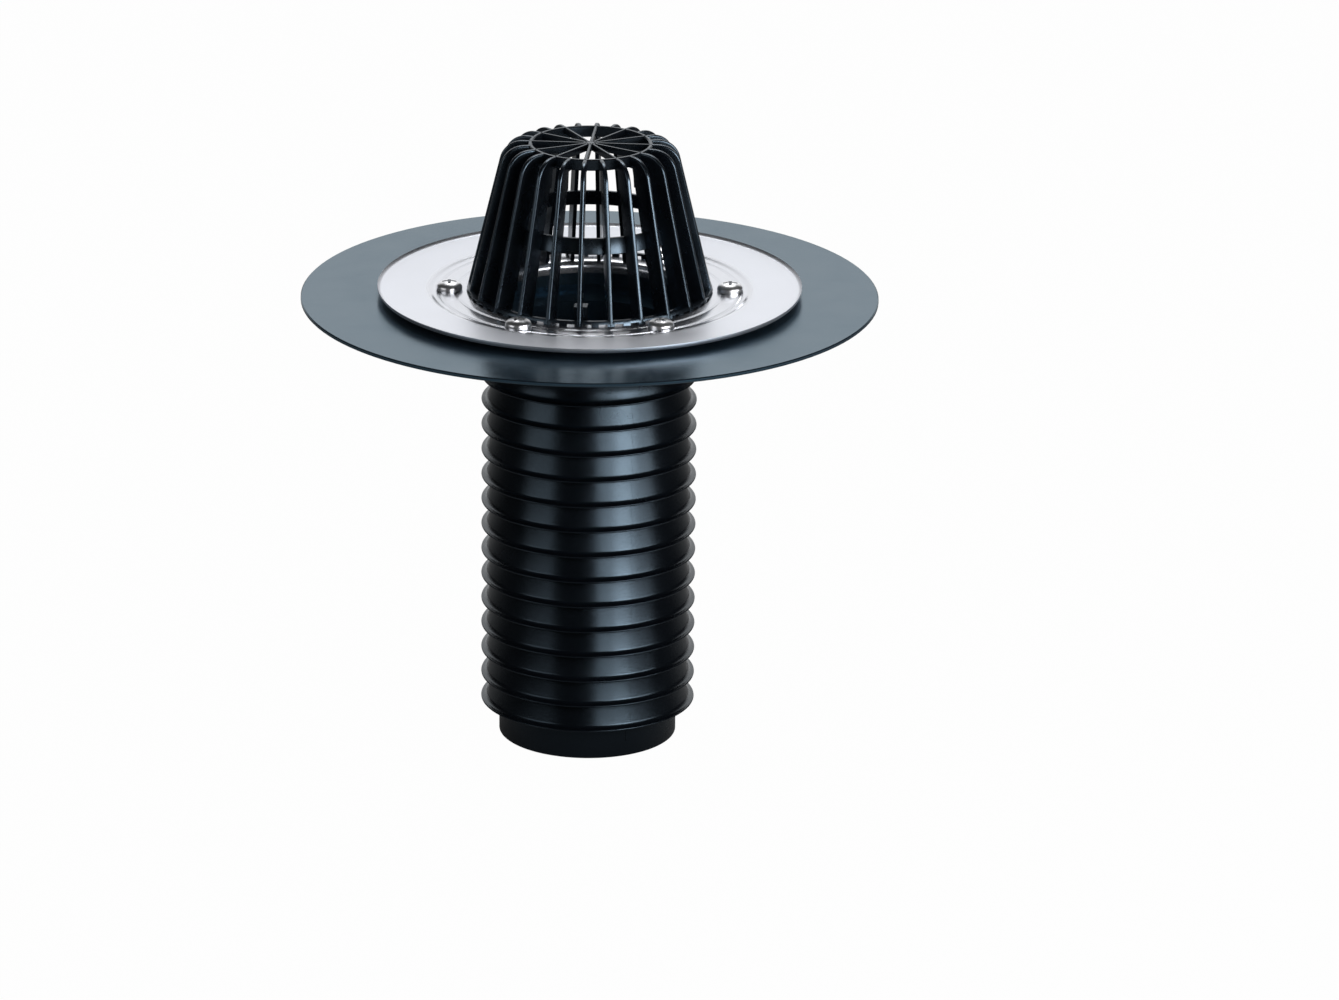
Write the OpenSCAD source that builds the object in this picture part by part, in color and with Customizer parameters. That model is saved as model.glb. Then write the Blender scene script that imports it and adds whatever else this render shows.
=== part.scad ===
// Flat roof drain: a black flanged body with a polished clamping ring, a leaf
// guard on top and a flexible corrugated hose below.
// The origin is the centre of the hose's lower end. +Z points up along the
// drain's axis. Lengths are in millimetres.

/* [Drain body] */
// Outer diameter of the flange that lies on the roof deck
flange_d = 354; // [330:1:420]
// Thickness of the flange
flange_t = 2.5; // [2:0.1:4]
// Inner diameter of the throat below the flange
throat_d = 130; // [130:0.5:134]
// Depth of the straight throat below the flange's top face
throat_h = 14; // [13:0.5:16]
// Wall of the throat and of the spigot
body_wall = 3; // [2.5:0.1:4]
// Outer diameter of the spigot that the hose is pushed on
spigot_d = 114; // [111:0.5:115]
// Height of the funnel between throat and spigot
funnel_h = 8; // [7:0.5:12]
// Diameter of the six bosses under the flange
boss_d = 18; // [16:0.5:20]
// Solid floor left below each boss's hole
boss_floor = 3; // [2:0.5:5]
// Thickness of the webs under the flange
web_t = 3; // [2:0.1:4]
// Radial reach of the webs from the drain's axis
web_reach = 122; // [110:1:140]

/* [Clamping ring] */
// Outer diameter of the clamping ring
ring_d = 260; // [250:1:300]
// Thickness of its sheet
ring_t = 1.5; // [1:0.1:2]
// Radial gap between the throat and its drawn collar
collar_gap = 3.5; // [3:0.1:5]
// Bend radius under the sheet at the drawn collar
ring_bend_r = 3; // [2.5:0.1:3.4]
// Depth of the collar's lower edge below the flange's top face
ring_collar_h = 5; // [3.5:0.1:7]
// Width of the flat zone outside the screw heads
flat_margin = 1.5; // [0.5:0.1:4]
// Width of the pressed step around the flat zone
step_w = 4; // [3:0.1:6]
// Height of the pressed step
step_h = 1.3; // [0.5:0.1:2]
// Rise of the outer zone from the step to the lip
outer_rise = 1.2; // [0.5:0.1:3]
// Width of the lip at the outer edge
lip_w = 3; // [2:0.1:5]
// Height of the lip
lip_h = 1.2; // [0.5:0.1:2]

/* [Seal] */
// Width of the gasket outside the screw holes
gasket_margin = 5.5; // [4:0.5:12]
// Radial distance from the throat to the gasket's inner edge
gasket_inset = 1; // [0.5:0.1:4]
// Thickness of the sealing gasket
gasket_t = 1; // [0.5:0.1:2]

/* [Screws and inserts] */
// Number of clamping screws
screw_count = 6; // [4:1:6]
// Diameter of the circle that the screws stand on
bolt_circle_d = 172; // [172:0.5:173]
// Nominal diameter of a screw
screw_d = 8; // [6:0.5:8]
// Length of a screw under its head
screw_l = 20; // [16:1:20]
// Diameter of a screw's pan head
head_d = 16; // [14:0.1:16]
// Height of a screw's pan head
head_h = 5.6; // [4.5:0.1:6]
// Diameter of the screw holes in ring and gasket
screw_hole_d = 9; // [9:0.1:10]
// Radial gap between a screw and its insert
screw_gap = 0.05; // [0.02:0.01:0.1]
// Outer diameter of a threaded insert
insert_d = 12; // [11:0.1:13]
// Length of a threaded insert
insert_l = 15; // [12:0.5:16]

/* [Leaf guard] */
// Radial gap between the guard's base ring and the screw heads
guard_gap = 2.5; // [1:0.1:4]
// Outer diameter of the guard's top ring
guard_top_d = 76; // [70:1:80]
// Height of the guard above the clamping ring
guard_h = 94; // [85:1:105]
// Inward lean of the blades, from the vertical
blade_lean = 13.6; // [12:0.1:15]
// Radius of the shoulder between a blade's flank and the top
shoulder_r = 14.4; // [12:0.1:17]
// Radial depth of a blade
blade_depth = 13; // [10:0.5:13]
// Thickness of a blade
blade_t = 2.8; // [2:0.1:3.5]
// Number of blades; every second one runs on as a spoke
blade_count = 24; // [16:2:28]
// Turn of the first spoke from the +X axis
blade_turn = -95; // [-100:1:-90]
// Width of a spoke
spoke_w = 2; // [1.5:0.1:3]
// Height of a spoke
spoke_h = 4; // [3:0.1:6]
// Diameter of the hub that joins the spokes
hub_d = 9; // [8:0.5:14]
// Height of the base ring
base_h = 4.5; // [4:0.1:7]
// Height of the top ring
top_ring_h = 7; // [6:0.1:9]
// Height of the inner hoop
hoop_h = 9.5; // [6:0.1:12]
// Height of the inner hoop's lower edge above the clamping ring
hoop_z = 39; // [30:1:50]
// Radial wall of base ring, top ring and inner hoop
band_t = 2.5; // [2:0.1:3.5]
// Width of the water notches in the base ring
notch_w = 5.4; // [4:0.1:6]
// Height of the water notches in the base ring
notch_h = 2; // [1:0.1:2.5]
// Width of the three spring legs
leg_w = 8; // [6:0.5:12]
// Thickness of the spring legs
leg_t = 2.4; // [2:0.1:3]
// Radial gap between a spring leg and the clamping ring's collar
leg_gap = 0.5; // [0.3:0.1:1]
// Radial reach of a leg's barb past the leg
barb_w = 1.5; // [1:0.1:2]

/* [Hose] */
// Outer diameter of the corrugations' lips
crest_d = 132.6; // [128:0.1:140]
// Radial depth from a lip's edge to the hose below it
groove_h = 7.8; // [7:0.1:9]
// Distance from one corrugation to the next
pitch = 16.2; // [14:0.1:20]
// Number of corrugations
crest_count = 14; // [4:1:24]
// Radial width of a lip outside the foot of its skirt
hose_lip_w = 4.4; // [4.2:0.1:5]
// Thickness of a lip at its rounded edge
lip_t = 1.2; // [1:0.1:1.6]
// Drop of a lip's underside from its edge to the hose below it
lip_drop = 2.2; // [1.5:0.1:3]
// Radius of the flare between a skirt and its lip
flare_r = 3.3; // [2.5:0.1:3.4]
// Radial wall of the hose
hose_wall = 2.4; // [2:0.1:3]
// Outer diameter of the plain outlet collar
outlet_d = 110; // [104:0.5:115]
// Height of the plain outlet collar
outlet_h = 19.9; // [16:0.1:60]
// Radial wall of the outlet collar
outlet_wall = 3; // [2.5:0.1:4]
// Height of the cuff that sits on the body's spigot
cuff_h = 21; // [18:0.5:30]
// Radial wall of the cuff
cuff_wall = 3; // [2.5:0.1:4]

/* [Hose band] */
// Width of the band's strip
band_w = 12; // [9:0.5:14]
// Thickness of the band's strip
strip_t = 0.9; // [0.6:0.1:1.5]
// Length of the housing along the strip
housing_l = 16; // [12:0.5:20]
// Radial height of the housing
housing_h = 10; // [9:0.5:12]
// Diameter of the band's screw
band_screw_d = 6; // [5:0.1:6.5]
// Length of the band's screw without its head
band_screw_l = 24; // [22:0.5:30]

/* [Hidden] */

$fn = 96;
small_fn = 48;         // facets of screws and inserts
bend_steps = 6;        // points along a bend or an arc
edge_r = 0.6;          // bevel on moulded edges
tip_gap = 2;           // room below a screw's tip
past = 1;              // how far a cutter runs past what it cuts

throat_r = throat_d / 2;
spigot_r = spigot_d / 2;
cuff_r = spigot_r + cuff_wall;
flange_r = flange_d / 2;
ring_r = ring_d / 2;
bore_r = throat_r - collar_gap - ring_t;
bolt_r = bolt_circle_d / 2;
screw_turn = 360 / screw_count;
flat_r = bolt_r + head_d / 2 + flat_margin;
gasket_r = bolt_r + screw_hole_d / 2 + gasket_margin;
gasket_bore_r = throat_r + gasket_inset;

// Heights measured from the flange's top face
seat = gasket_t + ring_t;              // top of the ring's flat zone
ring_top = seat + step_h + outer_rise + lip_h;
shoulder = throat_h + funnel_h;        // depth of the stop above the cuff
screw_tip = screw_l - seat;            // depth of a screw's tip
boss_h = max(insert_l, screw_tip) + tip_gap + boss_floor;

// Heights above the hose's lower end, of a lip's edge, the cuff and the flange's top face
function lip_z(i) = outlet_h + lip_drop + i * pitch;
cuff_z = lip_z(crest_count - 1) + pitch / 2;
deck = cuff_z + cuff_h + shoulder;

module on_deck() { translate([0, 0, deck]) children(); }

module each_screw() {
    for (i = [0 : screw_count - 1]) rotate(i * screw_turn) translate([bolt_r, 0, 0]) children();
}

// ---- Drain body -------------------------------------------------------------

module body_shell() {
    spigot_end = shoulder + cuff_h - edge_r;
    rotate_extrude() polygon([
        [throat_r, -edge_r], [throat_r + edge_r, 0],
        [flange_r - edge_r, 0], [flange_r, -edge_r],
        [flange_r, edge_r - flange_t], [flange_r - edge_r, -flange_t],
        [throat_r + body_wall, -flange_t], [throat_r + body_wall, -throat_h - edge_r],
        [cuff_r + edge_r, -shoulder], [spigot_r, -shoulder],
        [spigot_r, edge_r * 2 - spigot_end], [spigot_r - edge_r, -spigot_end],
        [spigot_r - body_wall, -spigot_end], [spigot_r - body_wall, edge_r - shoulder],
        [throat_r, -throat_h]]);
}

module body_web(reach) {
    rotate([90, 0, 0]) linear_extrude(web_t, center = true) polygon([
        [throat_r + body_wall / 2, -flange_t / 2], [reach, -flange_t / 2],
        [reach, -flange_t - edge_r], [bolt_r + boss_d / 2, -boss_h / 2],
        [throat_r + body_wall / 2, -throat_h]]);
}

module drain_body() {
    color("#23272b") on_deck() difference() {
        union() {
            body_shell();
            each_screw() translate([0, 0, -boss_h]) cylinder(d = boss_d, h = boss_h - flange_t / 2);
            for (i = [0 : 2 * screw_count - 1]) rotate(i * screw_turn / 2) body_web(web_reach);
        }
        each_screw() {
            translate([0, 0, -insert_l]) cylinder(d = insert_d, h = insert_l + past);
            translate([0, 0, boss_floor - boss_h]) cylinder(d = screw_hole_d, h = boss_h);
        }
    }
}

module threaded_inserts() {
    color("#b5923f") on_deck() each_screw() translate([0, 0, -insert_l]) difference() {
        cylinder(d = insert_d, h = insert_l, $fn = small_fn);
        translate([0, 0, -past])
            cylinder(d = screw_d + 2 * screw_gap, h = insert_l + 2 * past, $fn = small_fn);
    }
}

// ---- Seal and clamping ring ---------------------------------------------------

module sealing_gasket() {
    color("#16181a") on_deck() difference() {
        cylinder(r = gasket_r, h = gasket_t);
        translate([0, 0, -past]) cylinder(r = gasket_bore_r, h = gasket_t + 2 * past);
        each_screw() translate([0, 0, -past])
            cylinder(d = screw_hole_d, h = gasket_t + 2 * past, $fn = small_fn);
    }
}

// Quarter arc of the drawn collar, from its vertical wall to the flat zone
function collar_arc(r) = [for (i = [0 : bend_steps])
    let (a = 180 - 90 * i / bend_steps)
    [bore_r + ring_t + ring_bend_r + r * cos(a), gasket_t - ring_bend_r + r * sin(a)]];

// Step, sloped outer zone and lip, as the sheet's upper face lowered by drop
function outer_profile(drop) = concat(
    [for (i = [0 : bend_steps]) let (t = i / bend_steps)
        [flat_r + step_w * t, seat + step_h * (1 - cos(180 * t)) / 2 - drop]],
    [for (i = [0 : bend_steps]) let (t = i / bend_steps)
        [ring_r - lip_w * (1 - t), ring_top - lip_h * (1 - pow(t, 2)) - drop]]);

function reversed(list) = [for (i = [len(list) - 1 : -1 : 0]) list[i]];

module clamping_ring() {
    color("#d9dbe0") on_deck() difference() {
        rotate_extrude() polygon(concat(
            [[bore_r, -ring_collar_h]],
            collar_arc(ring_bend_r + ring_t),
            outer_profile(0),
            reversed(outer_profile(ring_t)),
            reversed(collar_arc(ring_bend_r)),
            [[bore_r + ring_t, -ring_collar_h]]));
        each_screw() cylinder(d = screw_hole_d, h = seat + past, $fn = small_fn);
    }
}

// ---- Screws -------------------------------------------------------------------

module clamp_screw() {
    rim_h = head_h / 4;
    recess_w = 0.12 * head_d;
    recess_l = 0.55 * head_d;
    recess_h = 0.6 * head_h;
    difference() {
        rotate_extrude($fn = small_fn) polygon(concat(
            [[0, -screw_l], [screw_d / 2 - past, -screw_l], [screw_d / 2, past - screw_l],
             [screw_d / 2, 0], [head_d / 2, 0]],
            [for (i = [0 : bend_steps]) let (a = 90 * i / bend_steps)
                [head_d / 2 * cos(a), rim_h + (head_h - rim_h) * sin(a)]]));
        for (a = [0, 90]) rotate(a) translate([-recess_l / 2, -recess_w / 2, head_h - recess_h])
            cube([recess_l, recess_w, recess_h + past]);
    }
}

module clamp_screws() {
    color("#e4e6ea") on_deck() each_screw() translate([0, 0, seat]) clamp_screw();
}

// ---- Leaf guard -----------------------------------------------------------------

base_r = bolt_r - head_d / 2 - guard_gap;
top_r = guard_top_d / 2;

// Radius of a blade's outer edge at height h, and where its shoulder arc starts
function flank_r(h) = base_r - h * tan(blade_lean);
shoulder_low = guard_h - shoulder_r * (1 - sin(blade_lean));
shoulder_x = flank_r(shoulder_low) - shoulder_r * cos(blade_lean);
inner_r = max(shoulder_r - top_ring_h, 3);

// Arc about the shoulder's centre, from the flank round to the top
function shoulder_arc(r) = [for (i = [0 : bend_steps])
    let (a = blade_lean + (90 - blade_lean) * i / bend_steps)
    [shoulder_x + r * cos(a), guard_h - shoulder_r + r * sin(a)]];

module blade() {
    rotate([90, 0, 0]) linear_extrude(blade_t, center = true) polygon(concat(
        [[base_r - blade_depth, 0], [base_r, 0]],
        shoulder_arc(shoulder_r),
        [[top_r - band_t / 2, guard_h], [top_r - band_t / 2, guard_h - top_ring_h]],
        [[shoulder_x, guard_h - shoulder_r + inner_r],
         [flank_r(shoulder_low) - blade_depth, shoulder_low - inner_r]]));
}

module guard_band(r_low, r_high, z_low, z_high) {
    rotate_extrude() polygon([[r_low - band_t, z_low], [r_low, z_low],
                              [r_high, z_high], [r_high - band_t, z_high]]);
}

module spring_leg() {
    face = bore_r - leg_gap;
    root = base_r - blade_depth + leg_t;
    arm_low = base_h;
    arm_top = base_h + 2 * leg_t;
    barb_top = -seat - ring_collar_h - leg_gap;
    tip = barb_top - 3 * leg_t / 2;
    rotate([90, 0, 0]) linear_extrude(leg_w, center = true) polygon([
        [root, arm_low], [root, arm_top], [face - leg_t, arm_top], [face - leg_t, tip],
        [face - leg_t / 2, tip], [face + barb_w, barb_top], [face, barb_top], [face, arm_low]]);
}

module leaf_guard() {
    blade_step = 360 / blade_count;
    hoop_out = flank_r(hoop_z) - blade_depth + band_t / 2;
    hoop_lean = hoop_h * tan(blade_lean);
    color("#1c1f22") on_deck() translate([0, 0, seat]) rotate(blade_turn) {
        difference() {
            guard_band(base_r, flank_r(base_h), 0, base_h);
            for (i = [0 : blade_count - 1], side = [-1, 1])
                rotate((i + side / 4) * blade_step)
                    translate([base_r - 2 * band_t, -notch_w / 2, -past])
                        cube([4 * band_t, notch_w, notch_h + past]);
        }
        guard_band(hoop_out, hoop_out - hoop_lean, hoop_z, hoop_z + hoop_h);
        guard_band(top_r, top_r, guard_h - top_ring_h, guard_h);
        for (i = [0 : blade_count - 1]) rotate(i * blade_step) blade();
        for (i = [0 : 2 : blade_count - 1]) rotate(i * blade_step)
            translate([0, -spoke_w / 2, guard_h - spoke_h])
                cube([top_r - band_t / 2, spoke_w, spoke_h]);
        translate([0, 0, guard_h - spoke_h]) cylinder(d = hub_d, h = spoke_h);
        for (i = [0 : 2]) rotate(120 * i) spring_leg();
    }
}

// ---- Hose -----------------------------------------------------------------------

outlet_r = outlet_d / 2;
crest_out = crest_d / 2;
valley_out = crest_out - groove_h;      // top of a skirt
skirt_out = crest_out - hose_lip_w;     // foot of a skirt

// Lean of a skirt from the vertical
skirt_lean = atan2(skirt_out - valley_out, pitch - lip_drop - lip_t / 2 - flare_r);

// One corrugation from its lip's underside over the lip's edge and the flare to its skirt
function corrugation(z) = concat(
    [[valley_out, z - lip_drop]],
    [for (a = [-90 : 45 : 90])
        [crest_out - lip_t / 2 * (1 - cos(a)), z + lip_t / 2 * sin(a)]],
    [for (i = [0 : 4]) let (a = 270 - (90 - skirt_lean) * i / 4)
        [skirt_out + flare_r * (1 + cos(a)), z + lip_t / 2 + flare_r * (1 + sin(a))]]);

// Inside of a corrugation, after what it starts from
function bore(i) = concat(
    [i == 0 ? [outlet_r - outlet_wall, outlet_h + lip_t / 2]
            : [valley_out - hose_wall, lip_z(i) - lip_drop]],
    [for (h = [flare_r / 2, flare_r + lip_t / 2]) [skirt_out - hose_wall, lip_z(i) + h]]);

module corrugated_hose() {
    rows = [0 : crest_count - 1];
    color("#1b1f23") rotate_extrude() polygon(concat(
        [[outlet_r - outlet_wall, 0], [outlet_r - edge_r, 0], [outlet_r, edge_r],
         [outlet_r, outlet_h]],
        [for (i = rows) for (p = corrugation(lip_z(i))) p],
        [[cuff_r, cuff_z], [cuff_r, cuff_z + cuff_h], [spigot_r, cuff_z + cuff_h],
         [spigot_r, cuff_z]],
        reversed([for (i = rows) for (p = bore(i)) p])));
}

// ---- Hose band ------------------------------------------------------------------

band_z = deck - shoulder - cuff_h / 2;

module housing_place() {
    translate([0, cuff_r + strip_t + housing_h / 2, band_z]) children();
}

module hose_band() {
    color("#c9ccd2") difference() {
        union() {
            translate([0, 0, band_z - band_w / 2]) rotate_extrude()
                translate([cuff_r, 0]) square([strip_t, band_w]);
            housing_place() cube([housing_l, housing_h + strip_t, band_w], center = true);
        }
        housing_place() rotate([0, 90, 0])
            cylinder(d = band_screw_d + 2 * screw_gap, h = housing_l + past, center = true);
        translate([0, 0, band_z - band_w]) cylinder(r = cuff_r, h = 2 * band_w);
    }
}

module band_screw() {
    head_w = 4 / 3 * band_screw_d;
    color("#b9bdc4") housing_place() rotate([0, 90, 0]) {
        translate([0, 0, -band_screw_l / 2])
            cylinder(d = band_screw_d, h = band_screw_l, $fn = small_fn);
        translate([0, 0, band_screw_l / 2]) cylinder(d = head_w, h = head_w / 2, $fn = 6);
    }
}

drain_body();
threaded_inserts();
sealing_gasket();
clamping_ring();
clamp_screws();
leaf_guard();
corrugated_hose();
hose_band();
band_screw();
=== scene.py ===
import math

import bmesh
import bpy
from mathutils import Matrix, Vector


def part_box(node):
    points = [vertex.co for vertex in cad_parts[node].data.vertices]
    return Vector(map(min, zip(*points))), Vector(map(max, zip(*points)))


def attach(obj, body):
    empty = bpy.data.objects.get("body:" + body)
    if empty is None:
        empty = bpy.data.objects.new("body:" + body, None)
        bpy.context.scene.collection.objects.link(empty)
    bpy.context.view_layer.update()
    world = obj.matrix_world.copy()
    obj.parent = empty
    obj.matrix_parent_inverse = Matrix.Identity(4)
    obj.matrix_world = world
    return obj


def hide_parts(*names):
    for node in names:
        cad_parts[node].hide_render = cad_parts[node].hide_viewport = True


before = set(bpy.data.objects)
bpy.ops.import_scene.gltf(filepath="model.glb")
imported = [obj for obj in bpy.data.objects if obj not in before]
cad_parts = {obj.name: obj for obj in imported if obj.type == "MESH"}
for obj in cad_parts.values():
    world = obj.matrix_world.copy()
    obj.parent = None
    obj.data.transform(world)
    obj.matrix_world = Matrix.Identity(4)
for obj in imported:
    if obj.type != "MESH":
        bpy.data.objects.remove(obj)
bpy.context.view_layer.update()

# ---- Sizes, in metres ------------------------------------------------------------------
# They are those of the frame's pieces, apart from the ring's beads, outer rise and rim, and
# the height of the guard's base ring and its notches.

MM = 0.001
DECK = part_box("drain_body")[1].z           # the flange's top face
GASKET_T, RING_T = 1.0 * MM, 1.5 * MM
SEAT = DECK + GASKET_T + RING_T            # the ring's flat zone, on which screws and guard stand

RING_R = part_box("clamping_ring")[1].x
RING_BORE_R, RING_BEND_R, RING_COLLAR_H = 60 * MM, 3 * MM, 5 * MM
STEP_W, STEP_H, OUTER_RISE, RIM_W, RIM_H = 4 * MM, 1.3 * MM, 0.6 * MM, 2.4 * MM, 1.8 * MM
BEADS, BEAD_W, BEAD_H, BEAD_STEPS = (82 * MM, 92.3 * MM), 1.6 * MM, 0.5 * MM, 5

SCREW_COUNT, BOLT_R, SCREW_HOLE_D = 6, 86 * MM, 9 * MM
SCREW_D, SCREW_L, SCREW_TIP, HEAD_D, HEAD_H = 8 * MM, 20 * MM, 1 * MM, 16 * MM, 5.6 * MM
RECESS_L, RECESS_W, RECESS_DEPTH = 0.55 * HEAD_D, 0.12 * HEAD_D, 0.6 * HEAD_H
FLAT_R = BOLT_R + HEAD_D / 2 + 1.5 * MM

BLADE_COUNT, BLADE_TURN = 24, math.radians(-95)
GUARD_BASE_R, GUARD_TOP_R, GUARD_H = 75.5 * MM, 38 * MM, 94 * MM
BLADE_LEAN, SHOULDER_R = math.radians(13.6), 14.4 * MM
BLADE_DEPTH, BLADE_T, BLADE_EDGE = 13 * MM, 2.8 * MM, 1.0 * MM
BLADE_THINNING = 0.85                      # share of a blade's thickness at its inner edge
BLADE_STEPS, SHOULDER_STEPS, DOME_STEPS = 8, 12, 12
BAND_T, BASE_H, TOP_RING_H, HOOP_H, HOOP_Z = 2.5 * MM, 3.2 * MM, 7 * MM, 9.5 * MM, 39 * MM
NOTCH_W, NOTCH_H = 5.4 * MM, 1.4 * MM
SPOKE_W, SPOKE_H, HUB_D = 2 * MM, 4 * MM, 9 * MM
BAND_EDGE, TOP_EDGE, SPOKE_EDGE_W, SPOKE_EDGE_H = 0.3 * MM, 0.6 * MM, 0.5 * MM, 0.6 * MM
LEG_W, LEG_T, LEG_GAP, BARB_W, ARM_Z = 8 * MM, 2.4 * MM, 0.5 * MM, 1.5 * MM, 4.5 * MM

LIP_R, PITCH, SKIRT_COUNT, HOSE_WALL = 66.3 * MM, 16.2 * MM, 14, 2.4 * MM
SKIRT_TOP_R, SKIRT_LOW_R = 58.5 * MM, 61.9 * MM
LIP_T, FLARE_R, LIP_DROP = 1.2 * MM, 3.3 * MM, 2.2 * MM
LIP_ARC, FLARE_START = (-75, 78), 262      # degrees from the radial direction
OUTLET_R, OUTLET_H, OUTLET_WALL, OUTLET_EDGE = 55 * MM, 19.9 * MM, 3 * MM, 0.84 * MM
SPIGOT_R, CUFF_R, CUFF_H, CUFF_EDGE = 57 * MM, 60 * MM, 21 * MM, 0.6 * MM
SEAM_TURN, SEAM_SINK = math.radians(-64), 0.4 * MM
RIB_SEAM_W, RIB_SEAM_H = 0.9 * MM, 0.2 * MM
OUTLET_SEAM_W, OUTLET_SEAM_H, OUTLET_SEAM_L = 1.8 * MM, 0.45 * MM, 10 * MM

HOSE_SEGMENTS, RING_SEGMENTS, BAND_SEGMENTS, ROD_SEGMENTS, HOLE_SEGMENTS = 224, 288, 192, 48, 32
AXIS_R = 0.01 * MM                         # a turned outline keeps this far from the axis
MERGE, WELD = 1e-6, 1e-7                   # points closer than this become one

# ---- Short calls for node trees --------------------------------------------------------


class Nodes:
    """Adds nodes to one tree, with their inputs given as values or as other nodes' outputs."""

    def __init__(self, tree):
        self.tree = tree

    def add(self, kind, inputs=None, out=0, **settings):
        node = self.tree.nodes.new(kind)
        for name, value in settings.items():
            setattr(node, name, value)
        for key, value in (inputs or {}).items():
            self.feed(node.inputs[key], value)
        return node.outputs[out]

    def feed(self, socket, value):
        if isinstance(value, bpy.types.NodeSocket):
            self.tree.links.new(value, socket)
        else:
            socket.default_value = value


def geometry_tree(name, **sizes):
    """A geometry tree with named inputs. sizes gives each input's socket kind."""
    tree = bpy.data.node_groups.new(name, "GeometryNodeTree")
    tree.interface.new_socket("Geometry", in_out="INPUT", socket_type="NodeSocketGeometry")
    for label, kind in sizes.items():
        tree.interface.new_socket(label, in_out="INPUT", socket_type="NodeSocket" + kind)
    tree.interface.new_socket("Geometry", in_out="OUTPUT", socket_type="NodeSocketGeometry")
    nodes = Nodes(tree)
    given = tree.nodes.new("NodeGroupInput").outputs
    return nodes, given


def tree_result(nodes, geometry, material):
    """Ends a geometry tree: real mesh, material, output."""
    real = nodes.add("GeometryNodeRealizeInstances", {"Geometry": geometry})
    done = nodes.add("GeometryNodeSetMaterial", {"Geometry": real, "Material": material})
    out = nodes.tree.nodes.new("NodeGroupOutput")
    nodes.tree.links.new(done, out.inputs[0])
    return nodes.tree


def shader_group(name, inputs, outputs):
    """A shader node group with named float inputs and outputs."""
    tree = bpy.data.node_groups.new(name, "ShaderNodeTree")
    for label, value in inputs.items():
        socket = tree.interface.new_socket(label, in_out="INPUT", socket_type="NodeSocketFloat")
        socket.default_value = value
    for label in outputs:
        tree.interface.new_socket(label, in_out="OUTPUT", socket_type="NodeSocketFloat")
    return Nodes(tree), tree.nodes.new("NodeGroupInput").outputs, tree.nodes.new("NodeGroupOutput")


# ---- Finishes --------------------------------------------------------------------------


def fine_grain():
    """Moulded grain: a height for bump and a mask that mottles colour and roughness."""
    nodes, given, out = shader_group(
        "fine_grain", {"Scale": 900.0, "Mottle Scale": 30.0}, ["Height", "Mottle"])
    place = nodes.add("ShaderNodeTexCoord", out="Object")
    grain = nodes.add("ShaderNodeTexNoise", {"Vector": place, "Scale": given["Scale"],
                                             "Detail": 3.0, "Roughness": 0.6})
    mottle = nodes.add("ShaderNodeTexNoise", {"Vector": place, "Scale": given["Mottle Scale"],
                                              "Detail": 4.0, "Roughness": 0.55})
    nodes.feed(out.inputs["Height"], grain)
    nodes.feed(out.inputs["Mottle"], mottle)
    return nodes.tree


def outside_zone():
    """A mask that is 0 near the drain's axis and 1 beyond a radius."""
    nodes, given, out = shader_group("outside_zone", {"Near": 0.1, "Far": 0.11}, ["Mask"])
    place = nodes.add("ShaderNodeTexCoord", out="Object")
    flat = nodes.add("ShaderNodeVectorMath", {0: place, 1: (1, 1, 0)}, operation="MULTIPLY")
    radius = nodes.add("ShaderNodeVectorMath", {0: flat}, out="Value", operation="LENGTH")
    mask = nodes.add("ShaderNodeMapRange", {"Value": radius, "From Min": given["Near"],
                                            "From Max": given["Far"]})
    nodes.feed(out.inputs["Mask"], mask)
    return nodes.tree


GRAIN, ZONE = fine_grain(), outside_zone()


def finish(name, color, roughness, grain_scale=900.0, mottle_scale=30.0, grain_depth=0.05,
           rough_swing=0.08, color_swing=0.15, outside=None, **constants):
    """A Principled material whose colour, roughness and bump vary by the grain group.

    grain_depth is in millimetres. outside gives a near and a far radius and the roughness
    that is added beyond them.
    """
    material = bpy.data.materials.new(name)
    material.use_nodes = True
    tree = material.node_tree
    tree.nodes.clear()
    nodes = Nodes(tree)
    group = tree.nodes.new("ShaderNodeGroup")
    group.node_tree = GRAIN
    group.inputs["Scale"].default_value = grain_scale
    group.inputs["Mottle Scale"].default_value = mottle_scale
    height, mottle = group.outputs["Height"], group.outputs["Mottle"]
    rough = nodes.add("ShaderNodeMapRange", {"Value": mottle, "From Min": 0.3, "From Max": 0.7,
                                             "To Min": roughness - rough_swing,
                                             "To Max": roughness + rough_swing})
    if outside:
        zone = tree.nodes.new("ShaderNodeGroup")
        zone.node_tree = ZONE
        zone.inputs["Near"].default_value, zone.inputs["Far"].default_value = outside[:2]
        rough = nodes.add("ShaderNodeMath", {0: zone.outputs["Mask"], 1: outside[2], 2: rough},
                          operation="MULTIPLY_ADD")
    low = [c * (1 - color_swing) for c in color] + [1]
    high = [c * (1 + color_swing) for c in color] + [1]
    shade = nodes.add("ShaderNodeMix", {"Factor": mottle, 6: low, 7: high}, out=2,
                      data_type="RGBA")
    bump = nodes.add("ShaderNodeBump", {"Height": height, "Strength": 1.0,
                                        "Distance": grain_depth * MM})
    shader = tree.nodes.new("ShaderNodeBsdfPrincipled")
    nodes.feed(shader.inputs["Base Color"], shade)
    nodes.feed(shader.inputs["Roughness"], rough)
    nodes.feed(shader.inputs["Normal"], bump)
    for label, value in constants.items():
        shader.inputs[label.replace("_", " ")].default_value = value
    out = tree.nodes.new("ShaderNodeOutputMaterial")
    tree.links.new(shader.outputs[0], out.inputs[0])
    return material


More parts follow.
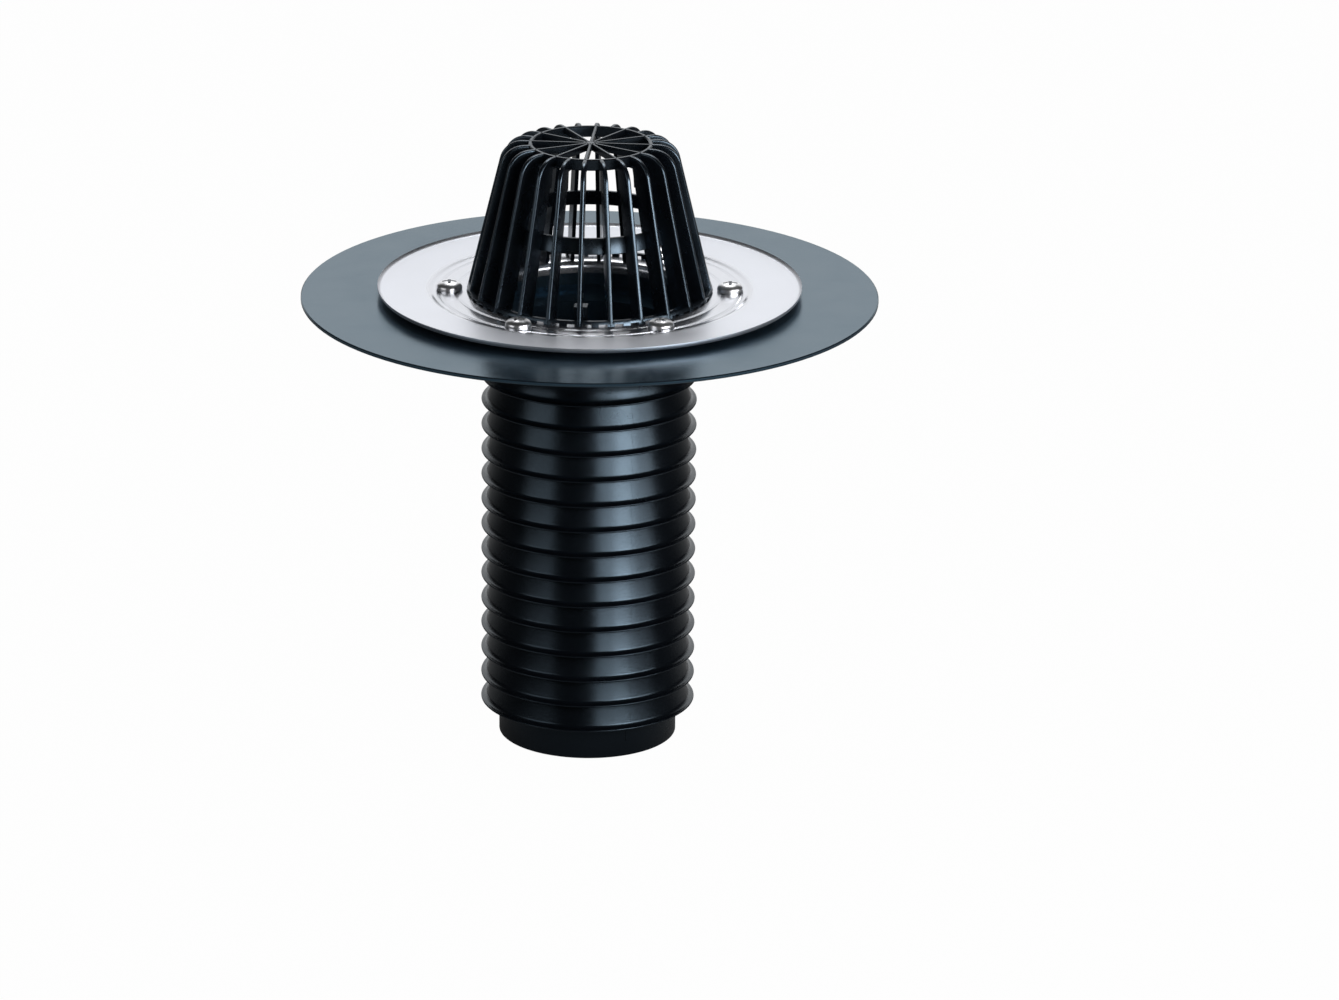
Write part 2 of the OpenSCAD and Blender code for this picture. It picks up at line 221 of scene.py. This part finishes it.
BLACK = (0.0015, 0.002, 0.003)
BODY_PLASTIC = finish("body_plastic", (0.005, 0.008, 0.012), 0.22, IOR=2.3,
                      grain_scale=1000.0, rough_swing=0.05, Specular_Tint=(0.40, 0.74, 1.0, 1.0))
GUARD_PLASTIC = finish("guard_plastic", BLACK, 0.26, IOR=1.8, grain_depth=0.01,
                       Specular_Tint=(0.60, 0.80, 1.0, 1.0))
HOSE_PLASTIC = finish("hose_plastic", BLACK, 0.23, IOR=1.5, grain_depth=0.06,
                      grain_scale=1200.0, rough_swing=0.05,
                      Specular_Tint=(0.58, 0.80, 1.0, 1.0))
GASKET_RUBBER = finish("gasket_rubber", (0.02, 0.021, 0.023), 0.75)
POLISHED_STEEL = finish("polished_steel", (0.70, 0.72, 0.77), 0.24, Metallic=1.0,
                        grain_depth=0.016, grain_scale=1000.0, color_swing=0.04, rough_swing=0.03,
                        outside=(FLAT_R + STEP_W, FLAT_R + STEP_W + 2 * MM, 0.20))
BRIGHT_STEEL = finish("bright_steel", (0.82, 0.83, 0.85), 0.30, Metallic=1.0,
                      grain_depth=0.002, color_swing=0.03, rough_swing=0.03)
BRASS = finish("turned_brass", (0.62, 0.45, 0.20), 0.28, Metallic=1.0, grain_depth=0.01)
STRIP_STEEL = finish("strip_steel", (0.66, 0.67, 0.69), 0.25, Metallic=1.0, grain_depth=0.005)

for node_name, material in (("drain_body", BODY_PLASTIC), ("threaded_inserts", BRASS),
                            ("sealing_gasket", GASKET_RUBBER), ("hose_band", STRIP_STEEL),
                            ("band_screw", BRIGHT_STEEL)):
    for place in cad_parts[node_name].material_slots:
        place.material = material

# ---- Meshes and geometry trees ---------------------------------------------------------


def mesh_of(name, points, faces=(), edges=()):
    mesh = bpy.data.meshes.new(name)
    mesh.from_pydata([Vector(p) for p in points], list(edges), list(faces))
    return mesh


def outline(name, points):
    """A closed outline of (radius, height) points, as edges in the XZ plane."""
    count = len(points)
    return mesh_of(name, [(r, 0, z) for r, z in points],
                   edges=[(i, (i + 1) % count) for i in range(count)])


def turning():
    """Turns a closed outline in the XZ plane round the Z axis."""
    nodes, given = geometry_tree("turned_outline", Segments="Int", Points="Int",
                                 Material="Material")

    def plus(a, b):
        return nodes.add("ShaderNodeMath", {0: a, 1: b}, operation="ADD")

    def half(value):
        return nodes.add("ShaderNodeMath", {0: value, 1: 0.5}, operation="MULTIPLY")

    grid = nodes.tree.nodes.new("GeometryNodeMeshGrid")
    nodes.feed(grid.inputs["Size X"], given["Segments"])
    nodes.feed(grid.inputs["Size Y"], given["Points"])
    nodes.feed(grid.inputs["Vertices X"], plus(given["Segments"], 1.0))
    nodes.feed(grid.inputs["Vertices Y"], plus(given["Points"], 1.0))
    place = nodes.add("GeometryNodeInputPosition")
    split = nodes.tree.nodes.new("ShaderNodeSeparateXYZ")
    nodes.feed(split.inputs[0], place)
    across = plus(split.outputs["X"], half(given["Segments"]))
    along = nodes.add("ShaderNodeMath", {0: plus(split.outputs["Y"], half(given["Points"]))},
                      operation="ROUND")
    index = nodes.add("ShaderNodeMath", {0: along, 1: given["Points"]}, operation="MODULO")
    turn = nodes.add("ShaderNodeMath", {0: across, 1: given["Segments"]}, operation="DIVIDE")
    angle = nodes.add("ShaderNodeMath", {0: turn, 1: 2 * math.pi}, operation="MULTIPLY")
    sample = nodes.add("GeometryNodeSampleIndex", {
        "Geometry": given["Geometry"], "Value": nodes.add("GeometryNodeInputPosition"),
        "Index": index}, data_type="FLOAT_VECTOR", domain="POINT")
    turned = nodes.add("ShaderNodeVectorRotate", {"Vector": sample, "Angle": angle},
                       rotation_type="Z_AXIS")
    lathed = nodes.add("GeometryNodeSetPosition", {"Geometry": grid.outputs["Mesh"],
                                                   "Position": turned})
    closed = nodes.add("GeometryNodeMergeByDistance", {"Geometry": lathed, "Distance": MERGE})
    return tree_result(nodes, closed, given["Material"])


def ringing():
    """Repeats a piece round the Z axis."""
    nodes, given = geometry_tree("repeat_round", Count="Int", Turn="Float",
                                 Material="Material")
    line = nodes.add("GeometryNodeMeshLine", {"Count": given["Count"], "Offset": (0, 0, 0)})
    index = nodes.add("GeometryNodeInputIndex")
    part = nodes.add("ShaderNodeMath", {0: index, 1: given["Count"]}, operation="DIVIDE")
    angle = nodes.add("ShaderNodeMath", {0: part, 1: 2 * math.pi, 2: given["Turn"]},
                      operation="MULTIPLY_ADD")
    turn = nodes.add("ShaderNodeCombineXYZ", {"Z": angle})
    copies = nodes.add("GeometryNodeInstanceOnPoints", {
        "Points": line, "Instance": given["Geometry"], "Rotation": turn})
    return tree_result(nodes, copies, given["Material"])


def cut_away(nodes, given, cutters):
    """Ends a geometry tree that takes cutters away from the given mesh."""
    cut = nodes.tree.nodes.new("GeometryNodeMeshBoolean")
    cut.operation, cut.solver = "DIFFERENCE", "EXACT"
    nodes.feed(cut.inputs[0], given["Geometry"])
    for cutter in cutters:
        nodes.feed(cut.inputs[1], cutter)
    return tree_result(nodes, cut.outputs[0], given["Material"])


def crossing():
    """Cuts a cross recess into a screw head on the Z axis."""
    nodes, given = geometry_tree("cross_recess", Length="Float", Width="Float", Depth="Float",
                                 Top="Float", Material="Material")
    tall = nodes.add("ShaderNodeMath", {0: given["Depth"], 1: 2.0}, operation="MULTIPLY")
    lift = nodes.add("ShaderNodeCombineXYZ", {"Z": given["Top"]})
    bars = []
    for x, y in (("Length", "Width"), ("Width", "Length")):
        size = nodes.add("ShaderNodeCombineXYZ", {"X": given[x], "Y": given[y], "Z": tall})
        bar = nodes.add("GeometryNodeMeshCube", {"Size": size})
        bars.append(nodes.add("GeometryNodeTransform", {"Geometry": bar, "Translation": lift}))
    return cut_away(nodes, given, bars)


def drilling():
    """Drills a circle of holes round the Z axis."""
    nodes, given = geometry_tree("hole_circle", Count="Int", Circle="Float", Hole="Float",
                                 Length="Float", Height="Float", Material="Material")
    round_rod = nodes.add("GeometryNodeMeshCylinder", {
        "Vertices": HOLE_SEGMENTS, "Radius": given["Hole"], "Depth": given["Length"]})
    spots = nodes.add("GeometryNodeMeshCircle", {"Vertices": given["Count"],
                                                 "Radius": given["Circle"]})
    rods = nodes.add("GeometryNodeInstanceOnPoints", {"Points": spots, "Instance": round_rod})
    lift = nodes.add("ShaderNodeCombineXYZ", {"Z": given["Height"]})
    real = nodes.add("GeometryNodeRealizeInstances", {"Geometry": rods})
    return cut_away(nodes, given, [nodes.add("GeometryNodeTransform", {
        "Geometry": real, "Translation": lift})])


TURNING, RINGING, CROSSING, DRILLING = turning(), ringing(), crossing(), drilling()


def grown(tree, start, **values):
    """The plain mesh that a geometry tree makes of a starting mesh."""
    carrier = bpy.data.objects.new(start.name, start)
    bpy.context.scene.collection.objects.link(carrier)
    modifier = carrier.modifiers.new(tree.name, "NODES")
    modifier.node_group = tree
    for item in tree.interface.items_tree:
        if item.in_out == "INPUT" and item.name in values:
            modifier[item.identifier] = values[item.name]
    evaluated = carrier.evaluated_get(bpy.context.evaluated_depsgraph_get())
    mesh = bpy.data.meshes.new_from_object(evaluated)
    bpy.data.objects.remove(carrier)
    return mesh


def turned(name, points, material, segments=BAND_SEGMENTS):
    return grown(TURNING, outline(name, points), Segments=segments, Points=len(points),
                 Material=material)


def repeated(mesh, count, material, turn=0.0):
    return grown(RINGING, mesh, Count=count, Turn=turn, Material=material)


def moved(mesh, place=(0, 0, 0), turn=0.0):
    mesh.transform(Matrix.Translation(place) @ Matrix.Rotation(turn, 4, "Z"))
    return mesh


def loft(name, sections, ring=False):
    """A closed skin over sections of equally many points. ring joins the last to the first."""
    count, width = len(sections), len(sections[0])
    points = [p for section in sections for p in section]
    faces = []
    for i in range(count if ring else count - 1):
        here, there = i * width, (i + 1) % count * width
        faces += [(here + j, here + (j + 1) % width, there + (j + 1) % width, there + j)
                  for j in range(width)]
    if not ring:
        faces += [tuple(range(width))[::-1], tuple((count - 1) * width + j for j in range(width))]
    return mesh_of(name, points, faces)


def piece(name, meshes, material, nodes, sharp=30):
    """Joins meshes into one object that rides on the frame and stands for CAD nodes."""
    shell = bmesh.new()
    for mesh in meshes:
        shell.from_mesh(mesh)
    bmesh.ops.remove_doubles(shell, verts=shell.verts, dist=WELD)
    bmesh.ops.recalc_face_normals(shell, faces=shell.faces)
    mesh = bpy.data.meshes.new(name)
    shell.to_mesh(mesh)
    shell.free()
    mesh.materials.append(material)
    mesh.polygons.foreach_set("material_index", [0] * len(mesh.polygons))
    mesh.polygons.foreach_set("use_smooth", [True] * len(mesh.polygons))
    mesh.set_sharp_from_angle(angle=math.radians(sharp))
    obj = bpy.data.objects.new(name, mesh)
    bpy.context.scene.collection.objects.link(obj)
    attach(obj, "root")
    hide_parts(*nodes)
    return obj


def arc(center, radius, start, end, steps):
    """Points of an arc, with its angles in degrees."""
    turns = [math.radians(start + (end - start) * i / steps) for i in range(steps + 1)]
    return [(center[0] + radius * math.cos(a), center[1] + radius * math.sin(a)) for a in turns]


# ---- Hose ------------------------------------------------------------------------------

SKIRT_TILT = math.atan2(SKIRT_LOW_R - SKIRT_TOP_R, PITCH - LIP_DROP - LIP_T / 2 - FLARE_R)


def lip_z(index):
    return OUTLET_H + LIP_DROP + index * PITCH


def skirt(z):
    """One corrugation from its lip's underside up to the next lip: edge, flare and skirt."""
    half = LIP_T / 2
    edge = arc((LIP_R - half, z), half, *LIP_ARC, 8)
    middle = (SKIRT_LOW_R + FLARE_R, z + half + FLARE_R)
    flare = arc(middle, FLARE_R, FLARE_START, 180 + math.degrees(SKIRT_TILT), 8)
    return [(SKIRT_TOP_R, z - LIP_DROP)] + edge + flare


CUFF_Z = lip_z(SKIRT_COUNT - 1) + PITCH / 2
ribs = [p for i in range(SKIRT_COUNT) for p in skirt(lip_z(i))]
inner = []
for i in reversed(range(SKIRT_COUNT)):
    inner += [(SKIRT_LOW_R - HOSE_WALL, lip_z(i) + FLARE_R + LIP_T / 2),
              (SKIRT_LOW_R - HOSE_WALL, lip_z(i) + FLARE_R / 2)]
    inner += [(SKIRT_TOP_R - HOSE_WALL, lip_z(i) - LIP_DROP)] if i else []
hose_outline = (
    [(OUTLET_R - OUTLET_WALL, 0), (OUTLET_R - OUTLET_EDGE, 0)]
    + arc((OUTLET_R - OUTLET_EDGE, OUTLET_EDGE), OUTLET_EDGE, -60, 0, 3)
    + [(OUTLET_R, OUTLET_H)] + ribs
    + [(CUFF_R, CUFF_Z), (CUFF_R, CUFF_Z + CUFF_H - CUFF_EDGE),
       (CUFF_R - CUFF_EDGE, CUFF_Z + CUFF_H), (SPIGOT_R, CUFF_Z + CUFF_H), (SPIGOT_R, CUFF_Z)]
    + inner + [(OUTLET_R - OUTLET_WALL, OUTLET_H + LIP_T / 2)])


def parting_line(path, width, height, turn):
    """A thin raised line that follows a path of (radius, height) points up the hose."""
    sections = []
    for i, (r, z) in enumerate(path):
        (r0, z0), (r1, z1) = path[max(i - 1, 0)], path[min(i + 1, len(path) - 1)]
        length = math.hypot(r1 - r0, z1 - z0)
        out_r, out_z = (z1 - z0) / length, (r0 - r1) / length
        sections.append([(r + out_r * rise, y, z + out_z * rise)
                         for y, rise in ((-width / 2, -SEAM_SINK), (width / 2, -SEAM_SINK),
                                         (width / 4, height), (-width / 4, height))])
    return moved(loft("parting_line", sections), turn=turn)


outlet_line = [(OUTLET_R, OUTLET_H - OUTLET_SEAM_L), (OUTLET_R, OUTLET_H)]
seams = [parting_line(path, width, height, SEAM_TURN + turn) for turn in (0, math.pi)
         for path, width, height in ((ribs, RIB_SEAM_W, RIB_SEAM_H),
                                     (outlet_line, OUTLET_SEAM_W, OUTLET_SEAM_H))]
piece("corrugated_hose_skin", [turned("hose", hose_outline, HOSE_PLASTIC, HOSE_SEGMENTS)] + seams,
      HOSE_PLASTIC, ["corrugated_hose"], sharp=28)

# ---- Clamping ring ---------------------------------------------------------------------


def collar_arc(radius):
    """The bend from the ring's collar to its flat zone, at the sheet's inner or outer face."""
    center = (RING_BORE_R + RING_T + RING_BEND_R, DECK + GASKET_T - RING_BEND_R)
    return arc(center, radius, 180, 90, 10)


RING_TOP = SEAT + STEP_H + OUTER_RISE + RIM_H
beads = [(middle + BEAD_W * i / BEAD_STEPS,
          SEAT - BEAD_H * (1 + math.cos(math.pi * i / BEAD_STEPS)) / 2)
         for middle in BEADS for i in range(-BEAD_STEPS, BEAD_STEPS + 1)]


def outer_profile(drop):
    """The step and the raised rim outside the flat zone, lowered by drop."""
    steps = 10
    rise = [(FLAT_R + STEP_W * i / steps,
             SEAT + STEP_H * (1 - math.cos(math.pi * i / steps)) / 2 - drop)
            for i in range(steps + 1)]
    rim = [(RING_R - RIM_W * (1 - i / steps), RING_TOP - RIM_H * (1 - (i / steps) ** 2) - drop)
           for i in range(steps + 1)]
    return rise + rim


ring_outline = (
    [(RING_BORE_R, DECK - RING_COLLAR_H)] + collar_arc(RING_BEND_R + RING_T) + beads
    + outer_profile(0) + outer_profile(RING_T)[::-1] + collar_arc(RING_BEND_R)[::-1]
    + [(RING_BORE_R + RING_T, DECK - RING_COLLAR_H)])
ring_sheet = grown(DRILLING, turned("ring", ring_outline, POLISHED_STEEL, RING_SEGMENTS),
                   Count=SCREW_COUNT, Circle=BOLT_R, Hole=SCREW_HOLE_D / 2, Length=8 * RING_T,
                   Height=SEAT, Material=POLISHED_STEEL)
piece("clamping_ring_sheet", [ring_sheet], POLISHED_STEEL, ["clamping_ring"],
      sharp=40)

# ---- Screws ----------------------------------------------------------------------------

head_wall = HEAD_H / 4                     # the upright part of a head, below its dome
screw_end = SEAT - SCREW_L
screw_outline = [(AXIS_R, screw_end), (SCREW_D / 2 - SCREW_TIP, screw_end),
                 (SCREW_D / 2, screw_end + SCREW_TIP), (SCREW_D / 2, SEAT), (HEAD_D / 2, SEAT)]
screw_outline += [(HEAD_D / 2 * math.cos(a),
                   SEAT + head_wall + (HEAD_H - head_wall) * math.sin(a))
                  for a in [math.pi / 2 * i / DOME_STEPS for i in range(DOME_STEPS)]]
screw_outline += [(AXIS_R, SEAT + HEAD_H)]
screw = grown(CROSSING, turned("screw", screw_outline, BRIGHT_STEEL, ROD_SEGMENTS),
              Length=RECESS_L, Width=RECESS_W, Depth=RECESS_DEPTH, Top=SEAT + HEAD_H,
              Material=BRIGHT_STEEL)
screw_set = repeated(moved(screw, (BOLT_R, 0, 0)), SCREW_COUNT, BRIGHT_STEEL)
piece("clamp_screw_set", [screw_set], BRIGHT_STEEL, ["clamp_screws"], sharp=35)

# ---- Leaf guard ------------------------------------------------------------------------


def flank_r(h):
    """The radius of the blades' straight outer edges at a height above the seat."""
    return GUARD_BASE_R - h * math.tan(BLADE_LEAN)


SHOULDER_LOW = GUARD_H - SHOULDER_R * (1 - math.sin(BLADE_LEAN))
SHOULDER_X = flank_r(SHOULDER_LOW) - SHOULDER_R * math.cos(BLADE_LEAN)
SHOULDER_Z = GUARD_H - SHOULDER_R
INNER_R = SHOULDER_R - TOP_RING_H


def blade():
    """A blade with rounded outer corners, drawn in the XZ plane above the seat."""
    stations = []
    for i in range(BLADE_STEPS + 1):
        h = (SHOULDER_LOW - INNER_R) * i / BLADE_STEPS
        stations.append(((flank_r(h), h), (flank_r(h) - BLADE_DEPTH, h)))
    low = (flank_r(SHOULDER_LOW) - BLADE_DEPTH, SHOULDER_LOW - INNER_R)
    high = (SHOULDER_X, SHOULDER_Z + INNER_R)
    lean = math.degrees(BLADE_LEAN)
    round_top = arc((SHOULDER_X, SHOULDER_Z), SHOULDER_R, lean, 90, SHOULDER_STEPS)
    for i, point in enumerate(round_top):
        t = i / SHOULDER_STEPS
        stations.append((point, (low[0] + (high[0] - low[0]) * t, low[1] + (high[1] - low[1]) * t)))
    end = GUARD_TOP_R - BAND_T / 2
    stations.append(((end, GUARD_H), (end, GUARD_H - TOP_RING_H)))
    sections = []
    half = BLADE_T / 2
    corner = arc((-BLADE_EDGE, half - BLADE_EDGE), BLADE_EDGE, 90, 0, 4)
    side = corner + [(x, -y) for x, y in corner[::-1]]
    for (ox, oz), (ix, iz) in stations:
        length = math.hypot(ox - ix, oz - iz)
        ux, uz = (ox - ix) / length, (oz - iz) / length
        row = [(ix, half * BLADE_THINNING, iz)]
        row += [(ox + ux * x, y, oz + uz * x) for x, y in side]
        row += [(ix, -half * BLADE_THINNING, iz)]
        sections.append([(x, y, z + SEAT) for x, y, z in row])
    return loft("blade", sections)


def band_outline(r_low, r_high, z_low, z_high, corner=BAND_EDGE):
    """A leaning band with small bevels."""
    return [(r_low - BAND_T, z_low + corner), (r_low - BAND_T + corner, z_low),
            (r_low - corner, z_low), (r_low, z_low + corner), (r_high, z_high - corner),
            (r_high - corner, z_high), (r_high - BAND_T + corner, z_high),
            (r_high - BAND_T, z_high - corner)]


def base_ring():
    """The base ring with a water notch on each side of every blade."""
    step = 2 * math.pi / BLADE_COUNT
    half = NOTCH_W / GUARD_BASE_R / 2
    stops = []
    for i in range(BLADE_COUNT):
        for side in (-1, 1):
            mid = (i + side / 4) * step + BLADE_TURN
            stops += [(mid - half, 0.0), (mid - half, NOTCH_H), (mid, NOTCH_H),
                      (mid + half, NOTCH_H), (mid + half, 0.0)]
        stops.append(((i + 0.5) * step + BLADE_TURN, 0.0))
    sections = []
    for angle, low in stops:
        rows = [(GUARD_BASE_R - BAND_T, low), (GUARD_BASE_R - low * math.tan(BLADE_LEAN), low),
                (flank_r(BASE_H), BASE_H - BAND_EDGE), (flank_r(BASE_H) - BAND_EDGE, BASE_H),
                (flank_r(BASE_H) - BAND_T, BASE_H)]
        sections.append([(r * math.cos(angle), r * math.sin(angle), SEAT + z) for r, z in rows])
    return loft("base_ring", sections, ring=True)


def spoke():
    """A spoke from the hub to the top ring, with bevels along its top."""
    half, top, low = SPOKE_W / 2, SEAT + GUARD_H, SEAT + GUARD_H - SPOKE_H
    rows = [(-half, low), (half, low), (half, top - SPOKE_EDGE_H), (half - SPOKE_EDGE_W, top),
            (-half + SPOKE_EDGE_W, top), (-half, top - SPOKE_EDGE_H)]
    return loft("spoke", [[(x, y, z) for y, z in rows]
                          for x in (HUB_D / 4, GUARD_TOP_R - BAND_T / 2)])


def spring_leg():
    """An arm under the blades that turns down through the ring's bore and ends in a barb."""
    face = RING_BORE_R - LEG_GAP
    root = GUARD_BASE_R - BLADE_DEPTH + LEG_T
    barb_top = -(GASKET_T + RING_T) - RING_COLLAR_H - LEG_GAP
    tip = barb_top - 3 * LEG_T / 2
    rows = [(root, ARM_Z), (root, ARM_Z + 2 * LEG_T), (face - LEG_T, ARM_Z + 2 * LEG_T),
            (face - LEG_T, tip), (face - LEG_T / 2, tip), (face + BARB_W, barb_top),
            (face, barb_top), (face, ARM_Z)]
    return loft("spring_leg", [[(x, y, SEAT + z) for x, z in rows]
                               for y in (-LEG_W / 2, LEG_W / 2)])


hoop_out = flank_r(HOOP_Z) - BLADE_DEPTH + BAND_T / 2
hoop_top = hoop_out - HOOP_H * math.tan(BLADE_LEAN)
hub_low = SEAT + GUARD_H - SPOKE_H
hub = [(AXIS_R, hub_low), (HUB_D / 2, hub_low), (HUB_D / 2, SEAT + GUARD_H - SPOKE_EDGE_W),
       (HUB_D / 2 - SPOKE_EDGE_W, SEAT + GUARD_H), (AXIS_R, SEAT + GUARD_H)]
piece("leaf_guard_moulding", [
    base_ring(),
    turned("hoop", band_outline(hoop_out, hoop_top, SEAT + HOOP_Z, SEAT + HOOP_Z + HOOP_H),
           GUARD_PLASTIC),
    turned("top_ring", band_outline(GUARD_TOP_R, GUARD_TOP_R, SEAT + GUARD_H - TOP_RING_H,
                                    SEAT + GUARD_H, TOP_EDGE), GUARD_PLASTIC),
    turned("hub", hub, GUARD_PLASTIC, ROD_SEGMENTS),
    repeated(blade(), BLADE_COUNT, GUARD_PLASTIC, BLADE_TURN),
    repeated(spoke(), BLADE_COUNT // 2, GUARD_PLASTIC, BLADE_TURN),
    repeated(spring_leg(), 3, GUARD_PLASTIC, BLADE_TURN)], GUARD_PLASTIC,
    ["leaf_guard"], sharp=35)

# ---- Camera ----------------------------------------------------------------------------

AIM = Vector((0, 0, DECK))
DISTANCE, ELEVATION = 4.5, math.radians(17.404)
TURN_RIGHT, TURN_DOWN, ROLL = math.radians(0.668), math.radians(1.604), math.radians(0.553)
LENS = 197.35

sight = Vector((math.sin(TURN_RIGHT) * math.cos(ELEVATION + TURN_DOWN),
                math.cos(TURN_RIGHT) * math.cos(ELEVATION + TURN_DOWN),
                -math.sin(ELEVATION + TURN_DOWN)))
right = Vector((math.cos(TURN_RIGHT), -math.sin(TURN_RIGHT), 0))
up = right.cross(sight)
right, up = (math.cos(ROLL) * right + math.sin(ROLL) * up,
             math.cos(ROLL) * up - math.sin(ROLL) * right)
spot = AIM + DISTANCE * Vector((0, -math.cos(ELEVATION), math.sin(ELEVATION)))
camera = bpy.data.objects.new("camera", bpy.data.cameras.new("camera"))
camera.data.lens = LENS
camera.data.sensor_width = 36
camera.data.clip_end = 100
camera.matrix_world = Matrix(((right.x, up.x, -sight.x, spot.x), (right.y, up.y, -sight.y, spot.y),
                              (right.z, up.z, -sight.z, spot.z), (0, 0, 0, 1)))
bpy.context.scene.collection.objects.link(camera)
bpy.context.scene.camera = camera

# ---- Floor, surroundings and lamps -----------------------------------------------------

FLOOR_HALF, FLOOR_Z = 12, -0.4 * MM
FLOOR_SHADES, FLOOR_GLOW = (0.16, 0.20), 0.985


def floor_finish():
    """Glowing white for the camera with a faint share of its real shading, else dark grey."""
    material = bpy.data.materials.new("studio_floor")
    material.use_nodes = True
    tree = material.node_tree
    tree.nodes.clear()
    nodes = Nodes(tree)
    speckle = nodes.add("ShaderNodeTexNoise", {"Scale": 40.0, "Detail": 3.0})
    shade = nodes.add("ShaderNodeMapRange", {"Value": speckle, "To Min": FLOOR_SHADES[0],
                                             "To Max": FLOOR_SHADES[1]})
    paint = nodes.add("ShaderNodeBsdfDiffuse", {"Color": shade})
    white = nodes.add("ShaderNodeEmission", {"Color": (1, 1, 1, 1), "Strength": 1.0})
    seen = nodes.add("ShaderNodeLightPath", out="Is Camera Ray")
    share = nodes.add("ShaderNodeMath", {0: seen, 1: FLOOR_GLOW}, operation="MULTIPLY")
    mixed = nodes.add("ShaderNodeMixShader", {0: share, 1: paint, 2: white})
    out = tree.nodes.new("ShaderNodeOutputMaterial")
    tree.links.new(mixed, out.inputs[0])
    return material


floor = bpy.data.objects.new("studio_floor", mesh_of(
    "studio_floor", [(x * FLOOR_HALF, y * FLOOR_HALF, FLOOR_Z)
                     for x, y in ((-1, -1), (1, -1), (1, 1), (-1, 1))], [(0, 1, 2, 3)]))
floor.data.materials.append(floor_finish())
bpy.context.scene.collection.objects.link(floor)


BACKDROP_SIDES = (0.76, 0.95)              # it sets in between these values of level Y
BACKDROP_TOP = (0.55, 0.80)                # and fades out between these values of Z
SIDE_LEVEL, TOP_LEVEL, DIFFUSE_LEVEL = 0.02, 0.06, 0.6


def studio_world():
    """White for the camera, with even diffuse light.

    Reflections see a white backdrop only behind the drain.
    """
    world = bpy.data.worlds.new("studio")
    bpy.context.scene.world = world
    world.use_nodes = True
    tree = world.node_tree
    tree.nodes.clear()
    nodes = Nodes(tree)
    direction = nodes.add("ShaderNodeTexCoord", out="Generated")
    split = tree.nodes.new("ShaderNodeSeparateXYZ")
    tree.links.new(direction, split.inputs[0])
    flat = nodes.add("ShaderNodeVectorMath", {0: direction, 1: (1, 1, 0)}, operation="MULTIPLY")
    ahead = tree.nodes.new("ShaderNodeSeparateXYZ")
    nodes.feed(ahead.inputs[0], nodes.add("ShaderNodeVectorMath", {0: flat},
                                          operation="NORMALIZE"))
    behind = nodes.add("ShaderNodeMapRange", {
        "Value": ahead.outputs["Y"], "From Min": BACKDROP_SIDES[0],
        "From Max": BACKDROP_SIDES[1], "To Min": SIDE_LEVEL, "To Max": 1.0},
        interpolation_type="SMOOTHSTEP")
    height = nodes.add("ShaderNodeMapRange", {
        "Value": split.outputs["Z"], "From Min": BACKDROP_TOP[0],
        "From Max": BACKDROP_TOP[1], "To Min": 1.0, "To Max": TOP_LEVEL},
        interpolation_type="SMOOTHSTEP")
    seen = nodes.add("ShaderNodeMath", {0: behind, 1: height}, operation="MULTIPLY")
    rays = tree.nodes.new("ShaderNodeLightPath")
    gloss = nodes.add("ShaderNodeMath", {0: rays.outputs["Is Glossy Ray"],
                                         1: rays.outputs["Is Transmission Ray"]},
                      operation="MAXIMUM")
    lit = nodes.add("ShaderNodeMix", {"Factor": gloss, 2: DIFFUSE_LEVEL, 3: seen},
                    data_type="FLOAT")
    level = nodes.add("ShaderNodeMix", {"Factor": rays.outputs["Is Camera Ray"], 2: lit, 3: 1.0},
                      data_type="FLOAT")
    back = nodes.add("ShaderNodeBackground", {"Color": (1, 1, 1, 1), "Strength": level})
    out = tree.nodes.new("ShaderNodeOutputWorld")
    tree.links.new(back, out.inputs[0])


studio_world()


def softbox(name, azimuth, height, distance, width, tall, radiance):
    """A lamp that faces the drain. azimuth is in degrees, from the camera's side to its right."""
    data = bpy.data.lights.new(name, "AREA")
    data.shape = "RECTANGLE"
    data.size, data.size_y = width, tall
    data.energy = radiance * math.pi * width * tall
    lamp = bpy.data.objects.new(name, data)
    turn = math.radians(azimuth)
    lamp.location = (distance * math.sin(turn), -distance * math.cos(turn), height)
    aim = Vector((0, 0, min(height, DECK)))
    lamp.rotation_euler = (aim - lamp.location).to_track_quat("-Z", "Y").to_euler()
    bpy.context.scene.collection.objects.link(lamp)


softbox("key_softbox", azimuth=42, height=0.62, distance=1.1, width=0.45, tall=0.4, radiance=8)
softbox("wide_softbox", azimuth=44, height=0.62, distance=1.15, width=1.5, tall=0.4, radiance=5)
softbox("fill_softbox", azimuth=-58, height=0.62, distance=1.1, width=0.7, tall=0.4,
        radiance=1.5)
softbox("back_softbox", azimuth=178, height=1.45, distance=0.75, width=0.7, tall=0.5, radiance=5)

bpy.context.scene.view_settings.view_transform = "Standard"
